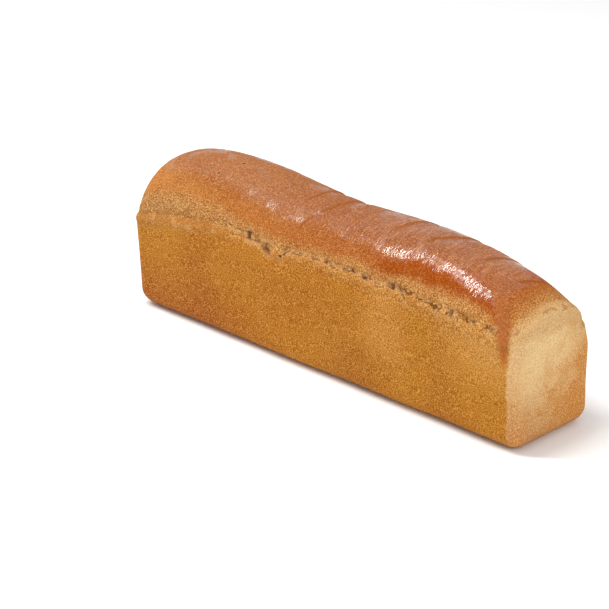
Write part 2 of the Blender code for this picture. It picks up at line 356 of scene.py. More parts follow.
def crest_place(u, v):
    """A place within the crest's outline, seen from above."""
    length = RIM_LENGTH - 2.0 * CREST_INSET
    width = RIM_WIDTH - 2.0 * CREST_INSET
    place, outward = outline(u, v, length, width, CREST_RADIUS)
    place.x -= CREST_PULL * smoothstep(CREST_PULL_START, 0.5 * length, place.x)
    return place


def crest_height(place):
    """The crown's height where its edge stands in from the walls by the ledge."""
    end_ledge = END_LEDGE if place.x < 0.0 else LEDGE
    stretch_x = RIM_LENGTH / (RIM_LENGTH - 2.0 * end_ledge)
    stretch_y = RIM_WIDTH / (RIM_WIDTH - 2.0 * LEDGE)
    return crown_height(place.x * stretch_x, place.y * stretch_y)


def rounded_in(place, crest, height):
    """The place between the outline and the crest where the crown has a height."""
    low = 0.0
    high = 1.0
    for _ in range(CREST_HALVINGS):
        middle = 0.5 * (low + high)
        probe = place.lerp(crest, middle)
        if crown_height(probe.x, probe.y) < height:
            low = middle
        else:
            high = middle
    low *= smoothstep(RIM_HEIGHT - SHOULDER_START, RIM_HEIGHT + SHOULDER, height)
    return place.lerp(crest, low)


def torn_inset(place, height, tear):
    """What the tear, the lip and the ledge take off the outline at a height."""
    above = height - tear
    rough = 1.0 - 0.5 * TEAR_ROUGHNESS
    rough += TEAR_ROUGHNESS * wave(place.x, place.y, 0.0, *TEAR_RAGS)
    calm = 1.0 - CALM_SHARE * smoothstep(*CALM_PLACES, place.x)
    groove = TEAR_DEPTH * rough * calm * bell(above, TEAR_SPREAD)
    swelling = LIP * bell(above + LIP_BELOW, LIP_SPREAD)
    at_end = smoothstep(*END_LEDGE_PLACES, place.x)
    ledge = LEDGE + (END_LEDGE - LEDGE) * at_end
    soft = LEDGE_SOFT + (END_LEDGE_SOFT - LEDGE_SOFT) * at_end
    return groove + ledge * smoothstep(-0.5 * soft, soft, above) - swelling


def ring_height(level, tear, top):
    """Height of one ring of cells: on the foot's rounding, the wall or the seam."""
    if level <= FOOT_CELLS:
        return FOOT_RADIUS * (1.0 - math.cos(0.5 * math.pi * level / FOOT_CELLS))
    wall_top = tear - SEAM_BELOW
    if level <= FOOT_CELLS + WALL_CELLS:
        return FOOT_RADIUS + (wall_top - FOOT_RADIUS) * (level - FOOT_CELLS) / WALL_CELLS
    up = (level - FOOT_CELLS - WALL_CELLS) / SEAM_CELLS
    return wall_top + (top - wall_top) * up ** SEAM_CROWDING


def wall_place(u, v, height, tear, foot=0.0):
    """A place on the walls or the seam at a height, seen from above."""
    taper = min(height / RIM_HEIGHT, 1.0)
    width = BASE_WIDTH + (RIM_WIDTH - BASE_WIDTH) * taper
    radius = LEFT_CORNER_RADIUS
    if u > 0.0:
        growth = smoothstep(*CORNER_GROWTH_HEIGHTS, height)
        radius = RIGHT_CORNER_RADIUS + CORNER_GROWTH * growth
    radius *= 1.0 - FOOT_CORNER_SHARE * foot / FOOT_RADIUS
    place, outward = outline(u, v, RIM_LENGTH - 2.0 * foot, width - 2.0 * foot, radius)
    inset = torn_inset(place, height, tear)
    if foot < FOOT_RADIUS:
        inset -= UNEVEN * wave(place.x, place.y, height, *WALL_WAVES)
    if height > RIM_HEIGHT - SHOULDER_START:
        place = rounded_in(place, crest_place(u, v), height)
    lean = END_LEAN * (1.0 - taper) * smoothstep(0.0, 0.5 * RIM_LENGTH, place.x)
    return place - outward * inset + Vector((lean, 0.0))


@lru_cache(maxsize=None)
def seam_ends(u, v):
    """The heights of the tear and the crest, and what the wall's place still lacks
    of the crest's when it has reached the crest's height."""
    place, outward = outline(u, v, RIM_LENGTH, RIM_WIDTH, LEFT_CORNER_RADIUS)
    tear = tear_height(place.x, place.y)
    crest = crest_place(u, v)
    top = crest_height(crest)
    return tear, top, crest - wall_place(u, v, top, tear)


def ring_point(u, v, level):
    """A place on the loaf's walls or on the crest's edge."""
    tear, top, missing = seam_ends(u, v)
    height = ring_height(level, tear, top)
    foot = 0.0
    if level < FOOT_CELLS:
        foot = FOOT_RADIUS * (1.0 - math.sin(0.5 * math.pi * level / FOOT_CELLS))
    place = wall_place(u, v, height, tear, foot)
    place += missing * smoothstep(tear, top, height)
    return Vector((place.x, place.y, height))


def score_place(score, y):
    """Where along the loaf a score runs at a distance y from the ridge."""
    place, slant, bend = score[:3]
    return place + slant * y + bend * y * y


def score_reach(score, y):
    """A score's strength at a distance y from the ridge: it fades at both ends."""
    front, back = score[3:5]
    side = y / (0.5 * RIM_WIDTH)
    reach = smoothstep(front - SCORE_FADE, front + SCORE_FADE, side)
    fade_start, fade_end = [back + share * SCORE_FADE for share in BACK_FADE]
    return reach * smoothstep(fade_start, fade_end, side)


def score_drop(x, y):
    """How far the scores lower the crown: a sharp step that climbs back slowly."""
    drop = 0.0
    for score in SCORES:
        past = x - score_place(score, y)
        if not SCORE_SEARCH[0] < past / SCORE_RUN < SCORE_SEARCH[1]:
            continue
        past -= SCORE_WANDER * wave(x, y, 0.0, *SCORE_WAVES)
        run = smoothstep(SCORE_START * SCORE_DIP, SCORE_DIP, past)
        run *= smoothstep(SCORE_RUN, SCORE_DIP, past)
        drop += score[5] * score_reach(score, y) * run
    return drop


def crest_point(u, v):
    """A place on the crown, inside the crest's edge."""
    place = crest_place(u, v)
    edge = max(abs(u), abs(v))
    height = crest_height(place)
    height -= score_drop(place.x, place.y) * (1.0 - smoothstep(*CREST_CALM, edge))
    calm = smoothstep(*WAVE_CALM, edge)
    height += UNEVEN * wave(place.x, place.y, height, *CROWN_WAVES) * calm
    return Vector((place.x, place.y, height))


def crowd(t):
    """Move a place between -1 and 1 outwards, so that cells crowd at the corners."""
    return math.sin(CROWDING * t) / math.sin(CROWDING)


def split_edges(mesh, axis, cells):
    """Divide every edge of the cage that runs along an axis into equal cells."""
    running = []
    for edge in mesh.edges:
        direction = edge.verts[1].co - edge.verts[0].co
        if abs(direction[axis]) > 0.5 * CAGE_SIZE:
            running.append(edge)
    bmesh.ops.subdivide_edges(mesh, edges=running, cuts=cells - 1, use_grid_fill=True)


def shape_form(mesh):
    """Move the cage's corners onto the loaf, with its base centred at the origin."""
    for vert in mesh.verts:
        u = round(crowd(vert.co.x), 6)
        v = round(crowd(vert.co.y), 6)
        level = round(0.5 * (vert.co.z + 1.0) * CELLS_UP)
        if max(abs(vert.co.x), abs(vert.co.y)) > CAGE_EDGE:
            vert.co = ring_point(u, v, level)
        else:
            vert.co = crest_point(u, v)
    middle_x = 0.5 * (min(v.co.x for v in mesh.verts) + max(v.co.x for v in mesh.verts))
    middle_y = 0.5 * (min(v.co.y for v in mesh.verts) + max(v.co.y for v in mesh.verts))
    offset = Vector((middle_x, middle_y, 0.0))
    for vert in mesh.verts:
        vert.co -= offset
    return offset


# --------------------------------------------------- the crust's relief

def wound_at(point, above):
    """How open the torn seam is at a place, from 0 to 1, and how deep in metres."""
    if abs(above) > WOUND_BAND or abs(point.x) > WOUND_END:
        return 0.0, 0.0
    x = point.x if point.y < 0.0 else BACK_SHIFT - point.x
    x += WOUND_STRAY * grain(point, *WOUND_SWAY)
    height = above + WOUND_STRAY_UP * grain(point, *WOUND_SWAY_UP)
    opening = 0.0
    depth = 0.0
    for place, rise, length, tall, tilt, deep in WOUNDS:
        along = x - place
        if abs(along) > 2.0 * length:
            continue
        across = height - rise - tilt * along
        amount = bell(along, length) * bell(across, tall)
        opening = max(opening, amount)
        depth = max(depth, deep * amount)
    ragged = WOUND_OPEN + WOUND_RAGGED * grain(point, *WOUND_RAGS)
    return min(1.0, opening * ragged), depth * ragged


def crown_pit_at(point):
    """How far inside one of the crown's small pits a place is, from 0 to 1."""
    nearest = 0.0
    if point.z < PITS_ABOVE or point.x > PITS_LEFT_OF:
        return nearest
    for x, y, radius in CROWN_PITS:
        nearest = max(nearest, bell(math.hypot(point.x - x, point.y - y), radius))
    return nearest


def fold_at(x, y):
    """How near a place on the crown is to the sharp side of a score, from 0 to 1."""
    nearest = 0.0
    for score in SCORES:
        past = x - score_place(score, y)
        if abs(past) > FOLD_REACH * FOLD_WIDTH:
            continue
        past -= SCORE_WANDER * wave(x, y, 0.0, *SCORE_WAVES)
        nearest = max(nearest, score_reach(score, y) * bell(past, FOLD_WIDTH))
    return nearest


def relief_at(point, above, gap):
    """What the fine relief cuts off the form at a place, in metres."""
    glazed = smoothstep(gap + GLAZE_EDGE[0], gap + GLAZE_EDGE[1], above)
    torn = smoothstep(*TORN_EDGE, above) * (1.0 - glazed)
    cut = DENT_CUT * (1.0 + grain(point, *DENTS))
    stipple = 0.5 + 0.5 * grain(point, *STIPPLE)
    cut += (STIPPLE_CUT - STIPPLE_FILLED * glazed) * stipple
    fibre = 1.0 - abs(grain(point, *FIBRES))
    cut += FIBRE_CUT * fibre * torn
    wrinkle = 1.0 - abs(grain(point, *WRINKLES))
    cut += WRINKLE_CUT * wrinkle * glazed
    blister = 0.5 + grain(point, *BLISTERS)
    cut += BLISTER_CUT * blister * glazed
    return cut


def glaze_gap(point, above):
    """How far above the tear the glaze begins at a place on the crust."""
    gap = between(GLAZE_GAP, point.x) + GLAZE_STRAY * grain(point, *GLAZE_RAGS)
    if point.x < DRIP_SEARCH or point.y > 0.0:
        return gap
    beside = (DRIP_PLACE[0] - point.x - point.y + DRIP_PLACE[1]) / math.sqrt(2.0)
    drip = bell(beside, DRIP_REACH) * smoothstep(*DRIP_START, above)
    return gap - DRIP_LENGTH * drip


def carve_crust(mesh, offset):
    """Cut the relief into the crust, and store the masks that its finish reads."""
    above_layer = mesh.verts.layers.float.new("above_tear")
    gap_layer = mesh.verts.layers.float.new("glaze_gap")
    wound_layer = mesh.verts.layers.float.new("wound")
    score_layer = mesh.verts.layers.float.new("score")
    mesh.normal_update()
    carved = []
    for vert in mesh.verts:
        point = vert.co + offset
        above = point.z - tear_height(point.x, point.y)
        gap = glaze_gap(point, above)
        opening, depth = wound_at(point, above)
        pit = crown_pit_at(point)
        cut = relief_at(point, above, gap) + depth + pit * CROWN_PIT_DEPTH
        settled = smoothstep(0.0, SETTLED, point.z)
        vert[above_layer] = above
        vert[gap_layer] = gap
        vert[wound_layer] = max(opening, pit)
        vert[score_layer] = fold_at(point.x, point.y)
        carved.append((vert, vert.co - vert.normal * cut * settled))
    for vert, place in carved:
        vert.co = place


def bake_loaf():
    """One closed piece: a divided cage, moved onto the loaf's form and then carved."""
    mesh = bmesh.new()
    bmesh.ops.create_cube(mesh, size=CAGE_SIZE)
    for axis, cells in enumerate((CELLS_ALONG, CELLS_ACROSS, CELLS_UP)):
        split_edges(mesh, axis, cells)
    base = [face for face in mesh.faces if face.normal.z < CAGE_BASE]
    bmesh.ops.dissolve_faces(mesh, faces=base, use_verts=False)
    offset = shape_form(mesh)
    bmesh.ops.recalc_face_normals(mesh, faces=mesh.faces)
    carve_crust(mesh, offset)
    data = bpy.data.meshes.new("loaf_crust")
    mesh.to_mesh(data)
    mesh.free()
    data.shade_smooth()
    loaf = bpy.data.objects.new("loaf_crust", data)
    bpy.context.scene.collection.objects.link(loaf)
    return loaf


# ------------------------------------------------------ crust materials

class Amount:
    """A number, colour or vector in a finish, on which ordinary arithmetic works."""

    def __init__(self, finish, socket):
        self.finish = finish
        self.socket = socket
        self.is_vector = socket.type in {"RGBA", "VECTOR"}

    def _join(self, operation, first, second):
        pair = (first, second)
        vectors = any(isinstance(a, (tuple, Vector)) for a in pair)
        vectors = vectors or any(isinstance(a, Amount) and a.is_vector for a in pair)
        kind = "ShaderNodeVectorMath" if vectors else "ShaderNodeMath"
        return self.finish.node(kind, {"operation": operation}, {0: first, 1: second})

    def __add__(self, other):
        return self._join("ADD", self, other)

    def __radd__(self, other):
        return self._join("ADD", other, self)

    def __sub__(self, other):
        return self._join("SUBTRACT", self, other)

    def __rsub__(self, other):
        return self._join("SUBTRACT", other, self)

    def __mul__(self, other):
        return self._join("MULTIPLY", self, other)

    def __rmul__(self, other):
        return self._join("MULTIPLY", other, self)

    def __truediv__(self, other):
        return self._join("DIVIDE", self, other)

    def step(self, low, high):
        """A soft step from 0 where this is low to 1 where it is high."""
        settings = {"interpolation_type": "SMOOTHSTEP"}
        values = {"Value": self, "From Min": low, "From Max": high}
        return self.finish.node("ShaderNodeMapRange", settings, values)


class Finish:
    """A procedural material, built from nodes on its object's own coordinates."""

    def __init__(self, name):
        self.material = bpy.data.materials.new(name)
        self.material.use_nodes = True
        self.nodes = self.material.node_tree.nodes
        self.links = self.material.node_tree.links
        self.shader = self.nodes["Principled BSDF"]
        self.place = self.node("ShaderNodeTexCoord", {}, {}, "Object")

    def put(self, socket, value):
        """Set a socket to a plain value or link it to an amount."""
        if isinstance(value, Amount):
            self.links.new(value.socket, socket)
        elif socket.type == "RGBA" and len(value) == 3:
            socket.default_value = (*value, 1.0)
        else:
            socket.default_value = value

    def node(self, kind, settings, values, output=0):
        """Add a node: its settings first, then the values or links of its sockets."""
        made = self.nodes.new(kind)
        for name, value in settings.items():
            setattr(made, name, value)
        for name, value in values.items():
            self.put(made.inputs[name], value)
        return Amount(self, made.outputs[output])

    def set(self, name, value):
        self.put(self.shader.inputs[name], value)

    def glaze_over(self, share):
        """Lay a second shader over the first by share; what is set next is its own."""
        over = self.nodes.new("ShaderNodeBsdfPrincipled")
        mixed = self.nodes.new("ShaderNodeMixShader")
        self.put(mixed.inputs[0], share)
        self.links.new(self.shader.outputs[0], mixed.inputs[1])
        self.links.new(over.outputs[0], mixed.inputs[2])
        self.links.new(mixed.outputs[0], self.nodes["Material Output"].inputs["Surface"])
        self.shader = over

    def mark(self, name):
        """A mask that is stored on the piece."""
        return self.node("ShaderNodeAttribute", {"attribute_name": name}, {}, "Fac")

    def noise(self, size, detail=2.0, roughness=0.5, stretch=(1.0, 1.0, 1.0)):
        """Noise from 0 to 1 with features of about the given size in metres."""
        place = self.place * (1.0 / stretch[0], 1.0 / stretch[1], 1.0 / stretch[2])
        values = {"Vector": place, "Scale": 1.0 / size, "Detail": detail}
        values["Roughness"] = roughness
        return self.node("ShaderNodeTexNoise", {}, values, "Fac")

    def mix(self, first, second, share):
        """Two colours mixed: the first where share is 0, the second where it is 1."""
        values = {0: share, 6: first, 7: second}
        return self.node("ShaderNodeMix", {"data_type": "RGBA"}, values, 2)

    def bump(self, height, distance, strength):
        """A normal for a surface that rises by distance where height rises by 1."""
        values = {"Height": height, "Distance": distance, "Strength": strength}
        return self.node("ShaderNodeBump", {}, values, "Normal")


# -------------------------------------------------- the crust's colours

def srgb(red, green, blue):
    """A colour from its everyday 0 to 255 values."""
    def linear(value):
        value = value / 255.0
        return value / 12.92 if value <= 0.04045 else ((value + 0.055) / 1.055) ** 2.4
    return (linear(red), linear(green), linear(blue))


# Noises of the crust: the size of their features, detail, roughness and, where they
# are drawn out, by how much along, across and up
GRIT = (0.0009, 2.0, 0.6)
FLECKS = (0.0019, 2.0, 0.6)
PATCHES = (0.014, 3.0, 0.6)
CLOUDS = (0.070, 2.0, 0.5)
CREASES = (0.0040, 1.0, 0.5, (0.5, 4.0, 4.0))
CRACK_BREAKS = (0.010, 1.0, 0.5, (1.0, 1.0, 3.0))
GLINT_CLUSTERS = (0.014, 2.0, 0.5)
CRINKLES = (0.0026, 1.5, 0.6, (0.7, 1.3, 1.2))

# Below, a PLACE is one along the loaf and how far its tone spreads there. PLACES,
# HEIGHTS, SIDES (across the loaf) and REACH or EDGE (up from the tear or from where
# the glaze begins) are where a tone starts and where it is full.
LEFT_PLACES = (-0.090, -0.140)
RIGHT_PLACES = (0.000, 0.060)
RIGHT_END_PLACES = (0.165, 0.185)

# The walls
WALL_GOLD = srgb(165, 98, 10)
WALL_CLOUD = srgb(173, 109, 21)
WALL_BROWN = srgb(146, 72, 8)
WALL_PALE = srgb(200, 140, 66)
WALL_LIGHT_GRIT = srgb(228, 174, 94)
WALL_DARK_GRIT = srgb(106, 48, 2)
FRONT_SIDES = (0.0, -0.030)
DARK_GOLD = srgb(150, 79, 5)
DARK_LEFT_PLACE = (-0.122, 0.035)
DARK_RIGHT_PLACE = (0.134, 0.026)
FAIR_SPOT = srgb(202, 142, 70)
FAIR_SPOT_PLACE = (0.078, 0.034)
FAIR_SPOT_HEIGHTS = (0.020, 0.050)
# Painted shade: a contact shadow that darkens the front wall low down, near the middle
LOW_SHADE = srgb(142, 72, 10)
LOW_SHADE_PLACE = (0.045, 0.055)
LOW_SHADE_HEIGHTS = (0.066, 0.020)
# Darker and redder low down towards the left
LOW_LEFT_RED = srgb(142, 62, 10)
LOW_LEFT_RED_PLACES = (-0.02, -0.15)
LOW_LEFT_RED_HEIGHTS = (0.060, 0.008)
FAIR = srgb(208, 150, 72)
FAIR_PLACES = (0.110, 0.180)
FAIR_HEIGHTS = (0.030, 0.075)

# The right end
END_PLACES = (0.1915, 0.1945)
END_LEANS_IN = 0.007         # its edge lies this much further in at the top
END_LEANS_HEIGHTS = (0.070, 0.095)
END_PALE = srgb(221, 186, 130)
END_TAN = srgb(190, 121, 42)
END_LIGHT_GRIT = srgb(240, 208, 162)
END_DARK_GRIT = srgb(158, 104, 52)
PALEST_SIDE = -0.010
PALEST_HEIGHT = 0.062
BROWNER_ACROSS = 20.0        # how fast it browns from there, for each metre
BROWNER_DOWN = 22.0
END_FRONT_SIDES = (-0.024, -0.046)
END_TOP = srgb(182, 128, 70)
END_TOP_HEIGHTS = (0.077, 0.085)
END_FOOT = srgb(166, 98, 34)
END_FOOT_HEIGHTS = (0.064, 0.010)
END_FOOT_SIDES = (0.014, -0.034)
END_EDGE = srgb(200, 138, 78)
END_EDGE_SIDES = (-0.020, -0.044)

# The torn seam: how far it is pale below the tear, and further at some places
PALE_REACH = 0.008
PALE_MIDDLE = 0.004
PALE_MIDDLE_PLACES = (-0.050, 0.020)
PALE_RIGHT = 0.016
PALE_RIGHT_PLACES = (0.080, 0.190)
PALE_LEFT = 0.006
PALE_LEFT_PLACES = (-0.110, -0.150)
SEAM_BROWN = srgb(148, 86, 24)
SEAM_TAN = srgb(178, 124, 62)
SEAM_PALE = srgb(218, 170, 110)
SEAM_LIGHT_GRIT = srgb(226, 184, 126)
SEAM_DARK_GRIT = srgb(98, 50, 14)
SEAM_GREY = srgb(150, 104, 56)
SEAM_GREY_PLACES = (-0.120, -0.160)
SEAM_ORANGE = srgb(174, 102, 42)
SEAM_ORANGE_REACH = (-0.012, -0.001)
SEAM_ON_END = (-0.005, 0.001)

# The crown
CROWN_LEFT = srgb(172, 110, 48)
CROWN_LEFT_PATCH = srgb(180, 119, 57)
CROWN_RED = srgb(146, 78, 30)
CROWN_RED_PLACES = (-0.100, 0.020)
CROWN_CLOUD = srgb(136, 69, 20)
# Painted shade: the crown darker towards its top, where the light falls more strongly
CROWN_TOP_SHADE = srgb(126, 62, 14)
CROWN_TOP_SHADE_HEIGHTS = (0.104, 0.124)
LEFT_TOP_RISE = 0.006        # these heights are higher by this much at the left
CROWN_LIGHT_FLECK = srgb(212, 144, 84)
CROWN_DARK_FLECK = srgb(126, 60, 22)
CROWN_LIGHT_GRIT = srgb(226, 160, 100)
CROWN_DARK_GRIT = srgb(118, 56, 18)
LOW_ORANGE = srgb(150, 76, 10)
LOW_ORANGE_CLOUD = srgb(158, 86, 18)
LOW_ORANGE_REACH = (0.021, 0.002)
DEEP_DARK = srgb(136, 55, 0)
DEEP_LIGHT = srgb(176, 92, 10)
DEEP_UPPER_EDGE = (0.017, 0.009)
DEEP_LOWER_EDGE = (-0.003, 0.003)
DEEP_LEFT_PLACES = (0.045, 0.080)
DEEP_RIGHT_PLACES = (0.178, 0.162)
# Painted sheen: pale pinkish streaks along the crown's wrinkles
WRINKLE_SHEEN = srgb(206, 142, 100)
DARK_WRINKLE = srgb(126, 58, 16)
WRINKLED_PLACES = (-0.020, 0.040)
WRINKLED_HEIGHTS = (0.104, 0.116)
FOLD_BROWN = srgb(146, 77, 18)
FOLD_LINE = (0.25, 0.85)     # shares of a fold's strength

# The drip of glaze, told by how far the glaze begins above the tear
DRIP_RED = srgb(168, 98, 48)
DRIP_GAPS = (0.004, -0.006)
DRIP_TAIL = srgb(190, 106, 40)
DRIP_TAIL_GAPS = (-0.003, -0.008)
DRIP_TAIL_REACH = (-0.017, -0.003)

# The streak under the left lip, the crack and the wounds
STREAK_BROWN = srgb(160, 102, 44)
STREAK_LOWER_EDGE = (-0.009, -0.004)
STREAK_UPPER_EDGE = (0.002, -0.001)
STREAK_PLACES = (-0.080, -0.110)
STREAK_PALE = srgb(214, 170, 112)
STREAK_PALE_PLACES = (-0.165, -0.145)
CRACK_BROWN = srgb(84, 44, 8)
CRACK_LOWER_EDGE = (-0.0011, -0.0001)
CRACK_UPPER_EDGE = (0.0013, 0.0003)
CRACK_PLACES = (-0.110, -0.070)
CRACK_DROP = 0.003           # the crack runs this much lower on the right end
WOUND_PALE = srgb(226, 190, 140)
WOUND_DARK = srgb(66, 34, 10)
WOUND_RED = srgb(112, 58, 30)

# The glaze
GLAZE_SOFT = 0.005           # distance over which it comes in
GLAZE_SOFT_END = 0.007       # and further by this much over the right end
SHINE_REACH = (0.012, 0.019)
SHINE_RIGHT = 0.003          # it shines from this much lower down at the right
SHINE_LOW = 0.007            # and from this much lower at the low glints
LOW_GLINTS_PLACE = (0.152, 0.034)
SHINE_GAPS = (-0.002, 0.004)
GLINT_PLACES = [(0.083, 0.013), (0.104, 0.017), (0.152, 0.024)]

# Heights of the bumps that the finish adds to the crust
STIPPLE_BUMP = 0.0005
CRINKLE_BUMP = 0.00025


class Crust(Finish):
    """The crust's finish, with the places and the noises that its colours share."""

    def __init__(self, name):
        super().__init__(name)
        self.above = self.mark("above_tear")
        self.gap = self.mark("glaze_gap")
        self.wound = self.mark("wound")
        self.fold = self.mark("score")
        self.along = self.axis("X")
        self.across = self.axis("Y")
        self.height = self.axis("Z")
        self.grit = self.noise(*GRIT)
        self.fleck = self.noise(*FLECKS)
        self.patch = self.noise(*PATCHES)
        self.cloud = self.noise(*CLOUDS)
        self.creases = self.noise(*CREASES)
        self.light_grit = self.grit.step(0.50, 0.62)
        self.dark_grit = self.grit.step(0.48, 0.36)
        self.at_left = self.along.step(*LEFT_PLACES)
        self.at_right = self.along.step(*RIGHT_PLACES)
        self.at_end = self.along.step(*RIGHT_END_PLACES)
        self.past_gap = self.above - self.gap + self.stray(0.009, 0.007)
        soft = self.at_end * GLAZE_SOFT_END
        glazed = (self.past_gap + soft) / (GLAZE_SOFT + soft)
        self.glazed = glazed.step(-0.8, 1.0)

    def axis(self, letter):
        """Distance from the middle along one axis, or height above the base."""
        return self.node("ShaderNodeSeparateXYZ", {}, {0: self.place}, letter)

    def near(self, place, spread):
        """How near the crust is to a place along the loaf, from 0 to 1."""
        rising = self.along.step(place - spread, place)
        return rising * self.along.step(place + spread, place)

    def stray(self, by_flecks, by_patches):
        """How far an edge strays, given how much the flecks and the patches move it."""
        return (self.fleck - 0.5) * by_flecks + (self.patch - 0.5) * by_patches

    def gritty(self, colour, light, light_share, dark, dark_share):
        """A colour with a fine pale and dark stipple."""
        colour = self.mix(colour, light, self.light_grit * light_share)
        return self.mix(colour, dark, self.dark_grit * dark_share)

    def wall_colour(self):
        """Golden brown, redder low down at the left and fairer high at the right, with
        painted shade low on the front.
        """
        wall = self.mix(WALL_GOLD, WALL_CLOUD, self.cloud.step(0.38, 0.62))
        wall = self.mix(wall, WALL_BROWN, self.patch.step(0.55, 0.75) * 0.16)
        wall = self.mix(wall, WALL_PALE, self.patch.step(0.46, 0.28) * 0.20)
        front = self.across.step(*FRONT_SIDES)
        dark = self.near(*DARK_LEFT_PLACE) * 0.60 + self.near(*DARK_RIGHT_PLACE) * 0.30
        wall = self.mix(wall, DARK_GOLD, dark * front)
        spot = self.near(*FAIR_SPOT_PLACE) * self.height.step(*FAIR_SPOT_HEIGHTS) * front
        wall = self.mix(wall, FAIR_SPOT, spot * (0.25 + self.patch * 0.4))
        # painted shade: the front wall darker low down, near the middle
        low = self.near(*LOW_SHADE_PLACE) * self.height.step(*LOW_SHADE_HEIGHTS) * front
        wall = self.mix(wall, LOW_SHADE, low * 0.50)
        low_left_red = self.height.step(*LOW_LEFT_RED_HEIGHTS) * self.along.step(*LOW_LEFT_RED_PLACES)
        wall = self.mix(wall, LOW_LEFT_RED, low_left_red * 0.7)
        fair = self.along.step(*FAIR_PLACES) * self.height.step(*FAIR_HEIGHTS)
        wall = self.mix(wall, FAIR, fair * 0.7)
        return self.gritty(wall, WALL_LIGHT_GRIT, 0.52, WALL_DARK_GRIT, 0.58)

    def end_colour(self):
        """Paler tan, browner towards the foot and the far side."""
        browning = (self.across - PALEST_SIDE) * BROWNER_ACROSS
        browning = browning + (PALEST_HEIGHT - self.height) * BROWNER_DOWN
        browning = browning + self.across.step(*END_FRONT_SIDES) * 0.5
        browning = browning + self.stray(0.6, 1.8)
        tan = self.mix(END_PALE, END_TAN, browning.step(-0.3, 1.6))
        raised = self.height + self.stray(0.0, 0.012)
        tan = self.mix(tan, END_TOP, raised.step(*END_TOP_HEIGHTS) * 0.42)
        foot = self.height.step(*END_FOOT_HEIGHTS) * self.across.step(*END_FOOT_SIDES)
        tan = self.mix(tan, END_FOOT, foot * 0.7)
        tan = self.mix(tan, END_EDGE, self.across.step(*END_EDGE_SIDES) * 0.35)
        return self.gritty(tan, END_LIGHT_GRIT, 0.42, END_DARK_GRIT, 0.42)

    def seam_colour(self):
        """The torn seam: pale, rough and mottled, more orange towards the glaze."""
        seam = self.mix(SEAM_BROWN, SEAM_TAN, self.patch.step(0.35, 0.65))
        seam = self.mix(seam, SEAM_GREY, self.along.step(*SEAM_GREY_PLACES) * 0.5)
        rising = self.past_gap.step(*SEAM_ORANGE_REACH)
        seam = self.mix(seam, SEAM_ORANGE, rising * (0.3 + self.at_end * 0.4))
        pale_fleck = self.fleck.step(0.55, 0.66) * (0.45 + self.at_end * 0.25)
        seam = self.mix(seam, SEAM_PALE, pale_fleck)
        return self.gritty(seam, SEAM_LIGHT_GRIT, 0.55, SEAM_DARK_GRIT, 0.60)

    def crown_colour(self):
        """Reddish brown, more orange along its lower edge and deep at the right, with
        painted shade towards the top.
        """
        crown = self.mix(CROWN_LEFT, CROWN_LEFT_PATCH, self.patch.step(0.3, 0.7))
        crown = self.mix(crown, CROWN_RED, self.along.step(*CROWN_RED_PLACES))
        crown = self.mix(crown, CROWN_CLOUD, self.cloud.step(0.5, 0.7) * 0.25)
        # painted shade: darker towards the top, where more light falls
        top = (self.height - self.at_left * LEFT_TOP_RISE).step(*CROWN_TOP_SHADE_HEIGHTS)
        crown = self.mix(crown, CROWN_TOP_SHADE, top * 0.75)
        orange = self.mix(LOW_ORANGE, LOW_ORANGE_CLOUD, self.cloud)
        low_edge = self.past_gap.step(*LOW_ORANGE_REACH) * self.gap.step(0.000, 0.005)
        crown = self.mix(crown, orange, low_edge * (0.65 - self.at_left * 0.50))
        crown = self.mix(crown, CROWN_LIGHT_FLECK, self.fleck.step(0.52, 0.64) * 0.25)
        crown = self.mix(crown, CROWN_DARK_FLECK, self.fleck.step(0.48, 0.36) * 0.25)
        crown = self.gritty(crown, CROWN_LIGHT_GRIT, 0.36, CROWN_DARK_GRIT, 0.42)
        return self.folded(self.wrinkled(self.deepened(crown)))

    def deepened(self, crown):
        """The crown with its deep orange lower edge and the red of the drip."""
        deep = self.past_gap.step(*DEEP_UPPER_EDGE) * self.past_gap.step(*DEEP_LOWER_EDGE)
        deep = deep * self.along.step(*DEEP_LEFT_PLACES)
        deep = deep * self.along.step(*DEEP_RIGHT_PLACES)
        orange = self.mix(DEEP_DARK, DEEP_LIGHT, self.light_grit)
        crown = self.mix(crown, orange, deep * 0.9)
        return self.mix(crown, DRIP_RED, self.gap.step(*DRIP_GAPS) * 0.35)

    def wrinkled(self, crown):
        """The crown with wrinkles along its top: pale ones painted as sheen, and dark
        ones.
        """
        wrinkled = self.along.step(*WRINKLED_PLACES) * self.height.step(*WRINKLED_HEIGHTS)
        # painted sheen: pale pinkish streaks on the wrinkles
        pale = self.creases.step(0.54, 0.68) * wrinkled
        crown = self.mix(crown, WRINKLE_SHEEN, pale * 0.22)
        dark = self.creases.step(0.46, 0.34) * wrinkled
        return self.mix(crown, DARK_WRINKLE, dark * 0.24)

    def folded(self, crown):
        """The crown with a broken brown line along the sharp side of each score."""
        line = self.fold.step(*FOLD_LINE) * self.patch.step(0.25, 0.45)
        line = line * (0.55 + self.fleck.step(0.40, 0.55) * 0.45)
        return self.mix(crown, FOLD_BROWN, line)

    def end_share(self):
        """Where the right end's colour lies, from 0 to 1."""
        leaning = self.height.step(*END_LEANS_HEIGHTS) * END_LEANS_IN
        return (self.along + leaning + self.stray(0.003, 0.0)).step(*END_PLACES)

    def torn_share(self, end):
        """Where the torn seam's colour lies, from 0 to 1, given where the end's does."""
        reach = PALE_REACH + self.along.step(*PALE_MIDDLE_PLACES) * PALE_MIDDLE
        reach = reach + self.along.step(*PALE_RIGHT_PLACES) * PALE_RIGHT
        reach = reach + self.along.step(*PALE_LEFT_PLACES) * PALE_LEFT
        torn = ((self.above + self.stray(0.008, 0.010)) / reach).step(-1.2, 0.6)
        return torn * (1.0 - end * (1.0 - self.above.step(*SEAM_ON_END)))

